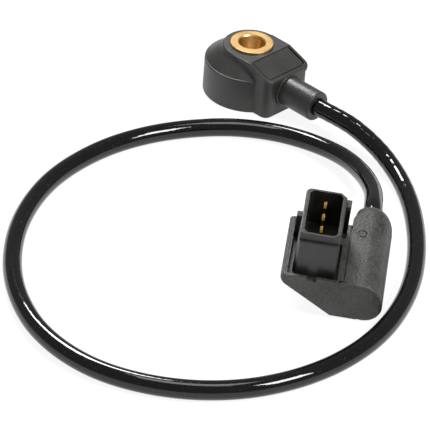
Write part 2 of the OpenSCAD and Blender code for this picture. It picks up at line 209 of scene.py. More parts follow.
@dataclass(frozen=True)
class TurnedMetal:
    """Metal turned on a lathe: fine rings round the bore's axis and a little tarnish."""

    name: str
    bright: str
    dull: str
    roughness: float
    ring_mm: float = 0.45
    ring_depth: float = 0.012

    def material(self) -> bpy.types.Material:
        """Builds the material. The rings are drawn coarser than a real feed mark to show."""
        material, tree, surface = new_material(self.name)
        place = add_node(tree, "ShaderNodeTexCoord").outputs["Object"]
        rings = add_node(
            tree, "ShaderNodeTexWave",
            {"wave_type": "RINGS", "rings_direction": "Z"},
            {"Scale": 0.314 / (self.ring_mm * MM), "Distortion": 0.6, "Detail": 2.0},
            {"Vector": place},
        ).outputs["Fac"]
        tarnish = add_node(
            tree, "ShaderNodeTexNoise",
            values={"Scale": 1 / (3.5 * MM), "Detail": 5.0, "Roughness": 0.65},
            links={"Vector": place},
        ).outputs["Fac"]
        colour = ramp(tree, tarnish, [(0.36, self.bright), (0.68, self.dull)])
        tree.links.new(colour, surface.inputs["Base Color"])
        gloss = add_node(
            tree, "ShaderNodeMapRange",
            values={1: 0.3, 2: 0.7, 3: self.roughness - 0.05, 4: self.roughness + 0.1},
            links={0: tarnish},
        ).outputs[0]
        tree.links.new(gloss, surface.inputs["Roughness"])
        bump = add_node(
            tree, "ShaderNodeBump",
            values={"Strength": 0.6, "Distance": self.ring_depth * MM},
            links={"Height": rings},
        ).outputs["Normal"]
        tree.links.new(bump, surface.inputs["Normal"])
        surface.inputs["Metallic"].default_value = 1.0
        return material


@dataclass(frozen=True)
class PlatedSheet:
    """Plated strip metal, stamped: bright, with faint rolling marks along one axis."""

    name: str
    bright: str
    dull: str
    roughness: float

    def material(self) -> bpy.types.Material:
        """Builds the material, with streaks and small stains in the plating."""
        material, tree, surface = new_material(self.name)
        place = add_node(tree, "ShaderNodeTexCoord").outputs["Object"]
        long_way = add_node(
            tree, "ShaderNodeMapping", values={"Scale": (1.0, 1.0, 0.12)}, links={"Vector": place}
        ).outputs["Vector"]
        streaks = add_node(
            tree, "ShaderNodeTexNoise",
            values={"Scale": 1 / (0.35 * MM), "Detail": 3.0},
            links={"Vector": long_way},
        ).outputs["Fac"]
        colour = ramp(tree, streaks, [(0.35, self.bright), (0.7, self.dull)])
        tree.links.new(colour, surface.inputs["Base Color"])
        bump = add_node(
            tree, "ShaderNodeBump",
            values={"Strength": 0.5, "Distance": 0.01 * MM},
            links={"Height": streaks},
        ).outputs["Normal"]
        tree.links.new(bump, surface.inputs["Normal"])
        surface.inputs["Metallic"].default_value = 1.0
        surface.inputs["Roughness"].default_value = self.roughness
        return material


@dataclass(frozen=True)
class DrawnPlastic:
    """Extruded or cast plastic or ceramic: an even colour with faint clouds and marks."""

    name: str
    shade: str
    light_shade: str
    roughness: float
    mark_mm: float = 1.2
    mark_depth: float = 0.02

    def material(self) -> bpy.types.Material:
        """Builds the material."""
        material, tree, surface = new_material(self.name)
        place = add_node(tree, "ShaderNodeTexCoord").outputs["Object"]
        cloud = add_node(
            tree, "ShaderNodeTexNoise",
            values={"Scale": 1 / (self.mark_mm * MM), "Detail": 4.0},
            links={"Vector": place},
        ).outputs["Fac"]
        colour = ramp(tree, cloud, [(0.35, self.shade), (0.7, self.light_shade)])
        tree.links.new(colour, surface.inputs["Base Color"])
        bump = add_node(
            tree, "ShaderNodeBump",
            values={"Strength": 0.6, "Distance": self.mark_depth * MM},
            links={"Height": cloud},
        ).outputs["Normal"]
        tree.links.new(bump, surface.inputs["Normal"])
        surface.inputs["Roughness"].default_value = self.roughness
        return material


@dataclass(frozen=True)
class CableVinyl:
    """Soft PVC jacket, extruded: glossy black, with slow ripples and specks of dust."""

    name: str = "extruded_pvc_jacket"
    shade: str = "#0a0a09"
    dust: str = "#4a4842"
    roughness: float = 0.05
    crease_end: float = 82.0

    def material(self) -> bpy.types.Material:
        """Builds the material. Dust specks are 0.5 mm so that they show."""
        material, tree, surface = new_material(self.name)
        place = add_node(tree, "ShaderNodeTexCoord").outputs["Object"]
        ripple = add_node(
            tree, "ShaderNodeTexNoise",
            values={"Scale": 1 / (4.0 * MM), "Detail": 2.0},
            links={"Vector": place},
        ).outputs["Fac"]
        specks = add_node(
            tree, "ShaderNodeTexNoise",
            values={"Scale": 1 / (0.5 * MM), "Detail": 1.0},
            links={"Vector": place},
        ).outputs["Fac"]
        colour = ramp(tree, specks, [(0.71, self.shade), (0.78, self.dust)])
        tree.links.new(colour, surface.inputs["Base Color"])
        gloss = add_node(
            tree, "ShaderNodeMapRange",
            values={1: 0.3, 2: 0.8, 3: self.roughness, 4: self.roughness + 0.06},
            links={0: specks},
        ).outputs[0]
        tree.links.new(gloss, surface.inputs["Roughness"])
        bump = add_node(
            tree, "ShaderNodeBump",
            values={"Strength": 0.5, "Distance": 0.12 * MM},
            links={"Height": ripple},
        ).outputs["Normal"]
        creased = add_node(
            tree, "ShaderNodeBump",
            values={"Strength": 1.0, "Distance": 0.22 * MM},
            links={"Height": self.creases(tree, place), "Normal": bump},
        ).outputs["Normal"]
        tree.links.new(creased, surface.inputs["Normal"])
        surface.inputs["IOR"].default_value = 1.52
        return material

    def creases(
        self, tree: bpy.types.NodeTree, place: bpy.types.NodeSocket
    ) -> bpy.types.NodeSocket:
        """Draws the creases that the jacket has just after the stub, 4 mm wide to show.

        Args:
            tree: Tree that gets the nodes.
            place: Object coordinates.

        Returns:
            Height of the creases, nought on the rest of the cable.
        """
        crumple = add_node(
            tree, "ShaderNodeTexNoise",
            values={"Scale": 1 / (4.0 * MM), "Detail": 0.5, "Distortion": 0.6},
            links={"Vector": place},
        ).outputs["Fac"]
        split = add_node(tree, "ShaderNodeSeparateXYZ", links={"Vector": place})
        along = add_node(
            tree, "ShaderNodeMapRange",
            values={1: self.crease_end * MM, 2: (self.crease_end - 25) * MM, 3: 0.0, 4: 1.0},
            links={0: split.outputs["X"]},
        ).outputs[0]
        beside = add_node(
            tree, "ShaderNodeMapRange",
            values={1: -9 * MM, 2: -7 * MM, 3: 0.0, 4: 1.0},
            links={0: split.outputs["Y"]},
        ).outputs[0]
        there = add_node(
            tree, "ShaderNodeMath", {"operation": "MULTIPLY"}, links={0: along, 1: beside}
        ).outputs[0]
        return add_node(
            tree, "ShaderNodeMath", {"operation": "MULTIPLY"}, links={0: crumple, 1: there}
        ).outputs[0]


def pick_only(piece: bpy.types.Object) -> None:
    """Deselects everything, then selects one piece and makes it active.

    Args:
        piece: Piece that the next operators act on.
    """
    bpy.ops.object.select_all(action="DESELECT")
    piece.select_set(True)
    bpy.context.view_layer.objects.active = piece


def dress(piece: bpy.types.Object, material: bpy.types.Material) -> None:
    """Gives a piece one material.

    Args:
        piece: Piece or CAD node to dress.
        material: Its finish.
    """
    piece.data.materials.clear()
    piece.data.materials.append(material)


def modelled(name: str) -> bpy.types.Object:
    """Names the piece that was just added and fixes its size and place in its mesh.

    Args:
        name: Name of the piece.

    Returns:
        The piece.
    """
    piece = bpy.context.object
    piece.name = name
    bpy.ops.object.transform_apply(location=True, rotation=True, scale=True)
    return piece


def slab(name: str, low: tuple[float, ...], high: tuple[float, ...]) -> bpy.types.Object:
    """Adds a box between two corners.

    Args:
        name: Name of the box.
        low: Lowest corner in millimetres.
        high: Highest corner in millimetres.

    Returns:
        The box.
    """
    bpy.ops.object.select_all(action="DESELECT")
    middle = [(a + b) / 2 for a, b in zip(low, high)]
    size = [b - a for a, b in zip(low, high)]
    bpy.ops.mesh.primitive_cube_add(size=1.0, location=middle, scale=size)
    return modelled(name)


def turned(
    name: str,
    radius: float,
    start: float,
    end: float,
    axis: str = "Z",
    at: tuple[float, float] = (0.0, 0.0),
) -> bpy.types.Object:
    """Adds a cylinder along one axis.

    Args:
        name: Name of the cylinder.
        radius: Its radius in millimetres.
        start: Where it starts on its axis.
        end: Where it ends on its axis.
        axis: X, Y or Z.
        at: Its place on the two other axes, in their order.

    Returns:
        The cylinder.
    """
    bpy.ops.object.select_all(action="DESELECT")
    half, middle = math.pi / 2, (start + end) / 2
    turns = {"X": (0, half, 0), "Y": (-half, 0, 0), "Z": (0, 0, 0)}
    places = {
        "X": (middle, at[0], at[1]), "Y": (at[0], middle, at[1]), "Z": (at[0], at[1], middle),
    }
    bpy.ops.mesh.primitive_cylinder_add(
        vertices=96, radius=radius, depth=end - start, location=places[axis],
        rotation=turns[axis],
    )
    return modelled(name)


def pick_edges(piece: bpy.types.Object, wanted: Callable[[Vector, Vector], bool]) -> None:
    """Goes into edit mode with the wanted edges selected.

    Args:
        piece: Piece to work on.
        wanted: Tells from an edge's two ends, in millimetres, whether it is picked.
    """
    pick_only(piece)
    bpy.ops.object.mode_set(mode="EDIT")
    bpy.ops.mesh.select_mode(type="EDGE")
    bpy.ops.mesh.select_all(action="DESELECT")
    bpy.ops.object.mode_set(mode="OBJECT")
    corners = piece.data.vertices
    for edge in piece.data.edges:
        one, other = (corners[i].co for i in edge.vertices)
        edge.select = wanted(one, other)
    bpy.ops.object.mode_set(mode="EDIT")


def round_edges(
    piece: bpy.types.Object,
    wanted: Callable[[Vector, Vector], bool],
    radius: float,
    segments: int = 6,
) -> None:
    """Rounds the wanted edges of a piece.

    Args:
        piece: Piece to work on.
        wanted: Tells from an edge's two ends whether it is rounded.
        radius: Width of the rounding in millimetres.
        segments: Number of facets in it.
    """
    pick_edges(piece, wanted)
    bpy.ops.mesh.bevel(
        offset=radius, offset_type="OFFSET", segments=segments, profile=0.5,
        clamp_overlap=True,
    )
    bpy.ops.object.mode_set(mode="OBJECT")


def level(axis: int, value: float) -> Callable[[Vector, Vector], bool]:
    """Makes a test for edges that lie in one plane.

    Args:
        axis: 0, 1 or 2 for X, Y or Z.
        value: Place of the plane in millimetres.

    Returns:
        The test.
    """
    return lambda one, other: abs(one[axis] - value) < 0.01 and abs(other[axis] - value) < 0.01


def standing(*places: tuple[float, float]) -> Callable[[Vector, Vector], bool]:
    """Makes a test for upright edges.

    Args:
        places: X and Y of each edge, or none for every upright edge.

    Returns:
        The test.
    """
    def wanted(one: Vector, other: Vector) -> bool:
        if (one - other).xy.length > 0.01:
            return False
        return not places or any((one.xy - Vector(place)).length < 0.01 for place in places)
    return wanted


def grow_end(
    piece: bpy.types.Object, axis: int, steps: list[tuple[float, float]], middle: Vector
) -> None:
    """Extrudes the end face of a turned piece in steps, each with its own width.

    Args:
        piece: Piece to work on.
        axis: Axis of the piece.
        steps: For each step, how far it goes in millimetres and the scale of its end.
        middle: Point on the piece's axis, in millimetres.
    """
    top = max(v.co[axis] for v in piece.data.vertices)
    pick_edges(piece, level(axis, top))
    bpy.ops.mesh.select_mode(type="FACE")
    for reach, share in steps:
        move = [0.0, 0.0, 0.0]
        move[axis] = reach
        bpy.ops.mesh.extrude_region_move(TRANSFORM_OT_translate={"value": move})
        size = [share, share, share]
        size[axis] = 1.0
        bpy.ops.transform.resize(value=size, center_override=middle)
    bpy.ops.object.mode_set(mode="OBJECT")


def slice_off(
    piece: bpy.types.Object, point: tuple[float, float, float], facing: tuple[float, float, float]
) -> None:
    """Cuts a piece by a plane and caps it.

    Args:
        piece: Piece to work on.
        point: Point of the plane in millimetres.
        facing: Direction of the side that goes.
    """
    pick_only(piece)
    bpy.ops.object.mode_set(mode="EDIT")
    bpy.ops.mesh.select_all(action="SELECT")
    bpy.ops.mesh.bisect(
        plane_co=point, plane_no=Vector(facing).normalized(), use_fill=True, clear_outer=True
    )
    bpy.ops.object.mode_set(mode="OBJECT")


class Fit(Enum):
    """What a Boolean modifier does with its tool."""

    JOIN = "UNION"
    CUT = "DIFFERENCE"


def split_faces(piece: bpy.types.Object) -> None:
    """Splits every face into triangles, so that each one is flat before a join or a cut.

    Args:
        piece: Piece to work on.
    """
    pick_only(piece)
    bpy.ops.object.mode_set(mode="EDIT")
    bpy.ops.mesh.select_all(action="SELECT")
    bpy.ops.mesh.remove_doubles(threshold=0.001)
    bpy.ops.mesh.quads_convert_to_tris(quad_method="BEAUTY", ngon_method="BEAUTY")
    bpy.ops.object.mode_set(mode="OBJECT")


def apply_tools(piece: bpy.types.Object, fit: Fit, tools: list[bpy.types.Object]) -> None:
    """Joins tools to a piece or cuts them out of it, and removes them.

    Args:
        piece: Piece that stays.
        fit: Join or cut.
        tools: Closed pieces that are used up.
    """
    split_faces(piece)
    for tool in tools:
        split_faces(tool)
        pick_only(piece)
        step = piece.modifiers.new(tool.name, "BOOLEAN")
        step.operation, step.solver, step.object = fit.value, "EXACT", tool
        bpy.ops.object.modifier_apply(modifier=step.name)
        bpy.data.objects.remove(tool)


def tube(
    name: str, inner: float, outer: float, start: float, end: float,
    axis: str = "Z", at: tuple[float, float] = (0.0, 0.0),
) -> bpy.types.Object:
    """Adds a ring with a square section.

    Args:
        name: Name of the ring.
        inner: Its inner radius in millimetres.
        outer: Its outer radius.
        start: Where it starts on its axis.
        end: Where it ends on its axis.
        axis: X, Y or Z.
        at: Its place on the two other axes.

    Returns:
        The ring.
    """
    ring = turned(name, outer, start, end, axis, at)
    apply_tools(ring, Fit.CUT, [turned("core", inner, start - 1, end + 1, axis, at)])
    return ring


def finish_piece(
    piece: bpy.types.Object, finish: bpy.types.Material, node: str
) -> bpy.types.Object:
    """Brings a finished shape from millimetres to metres, smooths it and hands it over.

    Args:
        piece: Finished shape.
        finish: Its material.
        node: CAD node that it replaces.

    Returns:
        The piece.
    """
    pick_only(piece)
    bpy.ops.object.mode_set(mode="EDIT")
    bpy.ops.mesh.select_all(action="SELECT")
    bpy.ops.mesh.remove_doubles(threshold=0.0005)
    bpy.ops.mesh.dissolve_limited(angle_limit=math.radians(0.2))
    bpy.ops.mesh.normals_make_consistent(inside=False)
    bpy.ops.object.mode_set(mode="OBJECT")
    piece.scale = (MM, MM, MM)
    bpy.ops.object.transform_apply(location=True, rotation=True, scale=True)
    bpy.ops.object.shade_smooth_by_angle(angle=math.radians(18))
    shading = piece.modifiers.new("Flat faces stay flat", "WEIGHTED_NORMAL")
    shading.keep_sharp = True
    bpy.ops.object.modifier_apply(modifier=shading.name)
    dress(piece, finish)
    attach(piece, "root")
    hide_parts(node)
    LOG.info("%s: %d faces", piece.name, len(piece.data.polygons))
    return piece


@dataclass
class Cable:
    """The free cable between the stub and the connector."""

    diameter: float = 6.0
    stub_end: tuple[float, float, float] = (30.6, 0.0, 8.2)
    step: float = 1.3
    ripple_end: float = 62.0

    def centreline(self) -> list[Vector]:
        """Draws one smooth line through the route's points.

        Returns:
            Points in metres, about one step apart.
        """
        knots = [Vector(p) * MM for p in ROUTE_MM]
        points: list[Vector] = []
        for i in range(len(knots) - 1):
            before = knots[max(i - 1, 0)]
            start, end = knots[i], knots[i + 1]
            after = knots[min(i + 2, len(knots) - 1)]
            count = max(2, round((end - start).length / (self.step * MM)))
            for k in range(count):
                t = k / count
                points.append(
                    0.5 * (
                        2 * start + (end - before) * t
                        + (2 * before - 5 * start + 4 * end - after) * t * t
                        + (3 * start - before - 3 * end + after) * t ** 3
                    )
                )
        points.append(knots[-1])
        return points

    def swell(self, along_mm: float) -> float:
        """Gives the jacket's radius at a place, as a share of its full radius.

        Args:
            along_mm: Distance from the hidden end in the stub.

        Returns:
            A share of one or less: the jacket is wrinkled just after the stub.
        """
        fade = max(0.0, 1 - max(0.0, along_mm - self.ripple_end) / 12)
        wave = math.sin(along_mm * 1.9) + 0.7 * math.sin(along_mm * 3.1 + 1)
        return 0.985 - 0.012 * fade * (1 + wave)

    def build(
        self, nodes: dict[str, bpy.types.Object], vinyl: bpy.types.Material
    ) -> bpy.types.Object:
        """Makes the cable as one curve with a round section.

        Args:
            nodes: CAD nodes by name. Not used.
            vinyl: Finish of the jacket.

        Returns:
            The cable.
        """
        points = self.centreline()
        curve = bpy.data.curves.new("cable", "CURVE")
        curve.dimensions = "3D"
        curve.bevel_depth = self.diameter / 2 * MM
        curve.bevel_resolution = 6
        curve.use_fill_caps = True
        spline = curve.splines.new("POLY")
        spline.points.add(len(points) - 1)
        along = 0.0
        for i, point in enumerate(points):
            along += (point - points[i - 1]).length / MM if i else 0.0
            spline.points[i].co = (*point, 1)
            spline.points[i].radius = self.swell(along)
        spline.use_smooth = True
        piece = bpy.data.objects.new("cable", curve)
        bpy.context.scene.collection.objects.link(piece)
        dress(piece, vinyl)
        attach(piece, "root")
        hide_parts("cable_jacket")
        LOG.info("cable: %d points, %.0f mm", len(points), along)
        return piece


@dataclass
class SensorBody:
    """The moulded body: round part, block with its sloping panel, and cable stub."""

    body_radius: float = 15.05
    foot: float = 0.3
    rim_height: float = 12.0
    boss_foot_radius: float = 10.1
    boss_foot_height: float = 15.9
    boss_radius: float = 9.3
    height: float = 17.4
    block_half: float = 9.6
    block_end: float = 17.2
    hood_end: float = 17.8
    hood_thickness: float = 1.3
    fold: float = 8.2
    panel_end_height: float = 14.1
    corner: float = 2.4
    stub_height: float = 8.2
    stub_radius: float = 5.0
    stub_end: float = 30.6
    cable_start: float = 24.0
    groove: float = 0.45

    def round_part(self) -> bpy.types.Object:
        """Makes the round body with its rim, cone and boss."""
        body = turned("body_moulding", self.body_radius, self.foot, self.rim_height)
        on_axis = Vector((0, 0, 0))
        ledge = (self.body_radius - 0.5) / self.body_radius
        boss_top = self.height - 0.03
        grow_end(body, 2, [
            (0.0, ledge),
            (self.boss_foot_height - self.rim_height,
             self.boss_foot_radius / (self.body_radius - 0.5)),
            (boss_top - self.boss_foot_height, self.boss_radius / self.boss_foot_radius),
        ], on_axis)
        round_edges(body, level(2, self.foot), 0.4)
        round_edges(body, level(2, self.boss_foot_height), 0.8)
        round_edges(body, level(2, boss_top), 0.35)
        outer = self.body_radius - 0.1
        round_edges(
            body,
            lambda one, other: level(2, self.rim_height)(one, other)
            and min(one.xy.length, other.xy.length) > outer,
            0.6,
        )
        return body

    def hood(
        self, name: str, end: float, half: float, low: float, top: float
    ) -> bpy.types.Object:
        """Makes a block that slopes down from the fold to its end.

        Args:
            name: Name of the block.
            end: Its end face.
            half: Half of its width.
            low: Its underside at the bush, or the foot for the full block.
            top: Its flat top at the bush.

        Returns:
            The block.
        """
        piece = slab(name, (0, -half, low), (end, half, top))
        pick_only(piece)
        bpy.ops.object.mode_set(mode="EDIT")
        bpy.ops.mesh.select_all(action="SELECT")
        bpy.ops.mesh.bisect(plane_co=(self.fold, 0, 0), plane_no=(1, 0, 0))
        bpy.ops.object.mode_set(mode="OBJECT")
        drop = (self.height - self.panel_end_height) * (end - self.fold) / (
            self.hood_end - self.fold)
        whole = low > self.foot
        pick_edges(
            piece,
            lambda one, other: level(0, end)(one, other)
            and (whole or level(2, top)(one, other)),
        )
        bpy.ops.transform.translate(value=(0, 0, -drop))
        bpy.ops.object.mode_set(mode="OBJECT")
        corners = [(end, -half), (end, half)]
        round_edges(piece, standing(*corners), self.corner, 8)
        return piece

    def panel(self) -> list[bpy.types.Object]:
        """Makes the shapes that are sunk in the sloping top: its field and border groove."""
        run = self.hood_end - self.fold
        slope = math.atan2(self.height - self.panel_end_height, run)
        reach, side = run / math.cos(slope) - 1.3, self.block_half - 1.1
        cutters = []
        for name, start, depth in (("border", 0.5, 0.75), ("field", 0.0, 0.25)):
            cutter = slab(name, (start, -side, -depth), (reach, side, 2.0))
            round_edges(cutter, standing((reach, -side), (reach, side)), 1.6, 8)
            cutters.append(cutter)
        end, half = reach - self.groove, side - self.groove
        island = slab("island", (-1, -half, -3), (end, half, 3))
        round_edges(island, standing((end, -half), (end, half)), 1.2, 8)
        apply_tools(cutters[0], Fit.CUT, [island])
        for cutter in cutters:
            cutter.rotation_euler = (0, slope, 0)
            cutter.location = (self.fold, 0, self.height)
            pick_only(cutter)
            bpy.ops.object.transform_apply(location=True, rotation=True, scale=True)
        return cutters

    def stub(self) -> list[bpy.types.Object]:
        """Makes the cable stub and the collar at its root."""
        start, at = self.block_end - 3, (0.0, self.stub_height)
        stub = turned("stub", self.stub_radius, start, self.stub_end, "X", at)
        round_edges(stub, level(0, self.stub_end), 0.6)
        collar = turned("collar", self.stub_radius + 0.7, start, self.block_end + 0.8, "X", at)
        round_edges(collar, level(0, self.block_end + 0.8), 0.35)
        return [stub, collar]

    def inner_room(self) -> list[bpy.types.Object]:
        """Makes the room for the bush, the sensing stack, the leads and the cable."""
        levels = [
            (7.11, -1.3, 19.1), (11.0, -1.0, 2.2), (11.05, 2.19, 6.81), (12.05, 6.8, 11.6),
            (10.55, 11.59, 12.61), (9.55, 12.6, 15.05),
        ]
        room = [turned(f"room_{i}", *sizes) for i, sizes in enumerate(levels)]
        for side, low in ((-1, 2.55), (1, 5.95)):
            at = (side * 1.5, self.stub_height)
            room.append(slab("tab_room", (9.2, at[0] - 0.95, low), (16.65, at[0] + 0.95, 7.55)))
            room.append(turned("crimp_room", 1.1, 16.15, 18.85, "X", at))
            room.append(turned("lead_room", 0.75, 16.2, self.cable_start + 0.1, "X", at))
        at = (0.0, self.stub_height)
        room.append(turned("ferrule_room", 3.55, self.cable_start, 27.0, "X", at))
        room.append(turned("cable_room", 3.05, self.cable_start, 31.0, "X", at))
        return room

    def build(self, nylon: bpy.types.Material) -> bpy.types.Object:
        """Makes the whole moulding.

        Args:
            nylon: Finish of the moulding.

        Returns:
            The moulding.
        """
        body = self.round_part()
        block = self.hood(
            "block", self.block_end, self.block_half - 0.02, self.foot,
            self.height - self.hood_thickness / 2,
        )
        round_edges(
            block, lambda one, other: level(2, self.foot)(one, other) and one.x > 1, 0.4)
        hood = self.hood(
            "hood", self.hood_end, self.block_half, self.height - self.hood_thickness,
            self.height,
        )
        round_edges(hood, self.on_outline, 0.35, 3)
        apply_tools(body, Fit.JOIN, [block, hood, *self.stub()])
        apply_tools(body, Fit.CUT, [*self.panel(), *self.inner_room()])
        return finish_piece(body, nylon, "sensor_housing")

    def on_outline(self, one: Vector, other: Vector) -> bool:
        """Tells whether an edge is on the outer outline of the hood's top.

        Args:
            one: One end of the edge.
            other: Its other end.

        Returns:
            True on the two long edges, the round corners and the far end.
        """
        fall = (self.height - self.panel_end_height) / (self.hood_end - self.fold)
        tops = [self.height - fall * max(0.0, p.x - self.fold) for p in (one, other)]
        on_top = all(abs(p.z - z) < 0.02 for p, z in zip((one, other), tops))
        across = abs(one.x - other.x) < 0.01 and one.x < self.hood_end - 0.01
        return on_top and not across


@dataclass
class TurnedBush:
    """The brass bush, with the fine edge that a lathe leaves on its top ring."""

    bore: float = 4.2
    radius: float = 7.1
    height: float = 18.2
    foot_radius: float = 11.0
    foot_height: float = 2.2
    mouth: float = 0.4
    ring_start: float = 8.8
    ring_pitch: float = 0.6
    ring_depth: float = 0.1

    def build(self, brass: bpy.types.Material) -> bpy.types.Object:
        """Makes the bush.

        Args:
            brass: Finish of the bush.

        Returns:
            The bush.
        """
        bush = turned("turned_bush", self.foot_radius, 0.0, self.foot_height)
        grow_end(bush, 2, [
            (0.0, self.radius / self.foot_radius), (self.height - self.foot_height, 1.0),
        ], Vector((0, 0, 0)))
        round_edges(bush, level(2, self.height), 0.3, 4)
        round_edges(
            bush, lambda one, other: level(2, 0)(one, other), 0.2, 2)
        bore = turned("bore", self.bore, -1.0, self.ring_start)
        wide = (self.bore + self.ring_depth) / self.bore
        rings = round((self.height - self.mouth - self.ring_start) / self.ring_pitch)
        half = self.ring_pitch / 2
        steps = [(half, wide), (half, 1 / wide)] * rings
        mouth = (self.mouth, (self.bore + self.mouth) / self.bore)
        grow_end(bore, 2, [*steps, mouth, (1.0, 1.0)], Vector((0, 0, 0)))
        apply_tools(bush, Fit.CUT, [bore])
        return finish_piece(bush, brass, "brass_bush")


@dataclass
class Connector:
    """The side-entry connector, modelled in its own frame and then laid in its place."""

    at: tuple[float, float, float] = (105.84, -72.89, 0.95)
    turn: float = 37.9
    tilt: float = 8.0
    lean: float = 3.0
    height: float = 13.5
    barrel_x: float = 7.85
    barrel_radius: float = 6.75
    barrel_length: float = 33.0
    shell_length: float = 39.5
    neck_radius: float = 3.35
    plate_low: float = 10.4
    plate_high: float = 11.9
    shroud_low: tuple[float, float, float] = (-12.8, 2.9, 10.5)
    shroud_high: tuple[float, float, float] = (-0.5, 23.2, 28.1)
    pieces: list[bpy.types.Object] = field(default_factory=list)

    def lay(self, piece: bpy.types.Object) -> None:
        """Moves a piece from the connector's frame to where it lies.

        Args:
            piece: Piece to move. Its place and turn end up in its mesh.
        """
        turn = Quaternion((0, 0, 1), math.radians(self.turn))
        tilt = Quaternion((1, 0, 0), math.radians(self.tilt))
        lean = Quaternion((0, 1, 0), math.radians(self.lean))
        piece.rotation_mode = "QUATERNION"
        piece.rotation_quaternion = turn @ tilt @ lean
        piece.location = self.at
        pick_only(piece)
        bpy.ops.object.transform_apply(location=True, rotation=True, scale=True)

    def barrel(self) -> bpy.types.Object:
        """Makes the barrel round the cable, with its domed shoulder and neck."""
        at = (self.barrel_x, self.barrel_radius)
        barrel = turned("barrel", self.barrel_radius, 0.02, self.barrel_length, "Y", at)
        round_edges(barrel, level(1, 0.02), 1.0)
        reach = self.shell_length - 1.0 - self.barrel_length
        widths = [
            self.neck_radius
            + (self.barrel_radius - self.neck_radius)
            * (0.6 * math.cos(math.radians(9 * k)) + 0.4 * (1 - k / 10))
            for k in range(11)
        ]
        steps = [
            (reach * (math.sin(math.radians(9 * k + 9)) - math.sin(math.radians(9 * k))),
             widths[k + 1] / widths[k])
            for k in range(10)
        ]
        grow_end(barrel, 1, [*steps, (1.0, 1.0)], Vector((at[0], 0, at[1])))
        waist = slab("waist", (-3, 26, -2), (2.4, 45, 16))
        round_edges(waist, standing((2.4, 26.0)), 0.8, 4)
        apply_tools(barrel, Fit.CUT, [waist])
        slice_off(barrel, (2.4, 30.5, 0), (-9.0, 2.05, 0))
        return barrel

    def wedge(self) -> bpy.types.Object:
        """Makes the section that thins towards the flange's outer edge."""
        wedge = slab("back_shell_moulding", (-16.4, 0, 0), (self.barrel_x, 26, self.height))
        slice_off(wedge, (-0.2, 0, 0), (-9.9, 0, -14.9))
        slice_off(wedge, (-16.4, 0, 11.4), (-1.5, 0, -1.3))
        flat = Vector((-16.4, 0))
        round_edges(wedge, standing((flat.x, 0.0)), 2.2, 7)
        round_edges(wedge, standing((flat.x, 26.0)), 1.5, 6)
        round_edges(
            wedge,
            lambda one, other: level(1, 0)(one, other)
            and not level(0, self.barrel_x)(one, other),
            0.9, 4,
        )
        return wedge

    def back_shell(self, grained: bpy.types.Material) -> bpy.types.Object:
        """Makes the back shell.

        Args:
            grained: Finish of the back shell.

        Returns:
            The back shell.
        """
        shell = self.wedge()
        heel = turned("heel", 5.6, 0.04, self.barrel_length, "Y", (9.2, 5.1))
        round_edges(heel, level(1, 0.04), 1.0)
        grow_end(heel, 1, [(1.4, 0.86), (1.4, 0.6)], Vector((9.2, 0, 5.1)))
        shoulder = slab("shoulder", (2.4, 20, 8), (self.barrel_x, 33, self.height))
        round_edges(shoulder, standing((2.4, 33)), 4.6, 8)
        round_edges(shoulder, lambda one, other: level(2, 13.5)(one, other)
                    and max(one.x, other.x) < self.barrel_x - 0.1, 1.2, 4)
        lip = slab("lip", (-15.1, 3.2, self.height - 0.5), (-14.5, 24.9, self.height + 0.15))
        round_edges(lip, level(2, self.height + 0.15), 0.1, 3)
        apply_tools(shell, Fit.JOIN, [self.barrel(), heel, shoulder, lip])
        well_low = self.plate_low - 0.05
        cuts = [
            slab("well", (-14.65, 0.95, well_low), (0.35, 16.65, 15)),
            slab("well_far", (-14.65, 0.95, well_low), (-0.45, 25.25, 15)),
            slab("pocket", (-8.5, 6, 7), (10.65, 20.4, self.plate_low)),
            slab("pocket_far", (5.05, 6, 7), (10.65, 34, self.plate_low)),
            slab("seam", (2.05, 0.9, 12.9), (2.55, 25.7, 14)),
            slab("seam_end", (0.9, 0.45, 12.9), (2.5, 0.95, 14)),
            tube("mould_mark", 1.1, 1.5, 13.2, 14.2, "Z", (5.8, 23.0)),
            slab("notch", (-8.6, -1, 12.3), (-5.8, 1.1, 14)),
            turned("ferrule_room", 3.55, 34.3, 37.3, "Y", (self.barrel_x, self.barrel_radius)),
            turned("cable_room", 3.1, 33.9, 40.0, "Y", (self.barrel_x, self.barrel_radius)),
        ]
        apply_tools(shell, Fit.CUT, cuts)
        self.lay(shell)
        return finish_piece(shell, grained, "connector_back_shell")

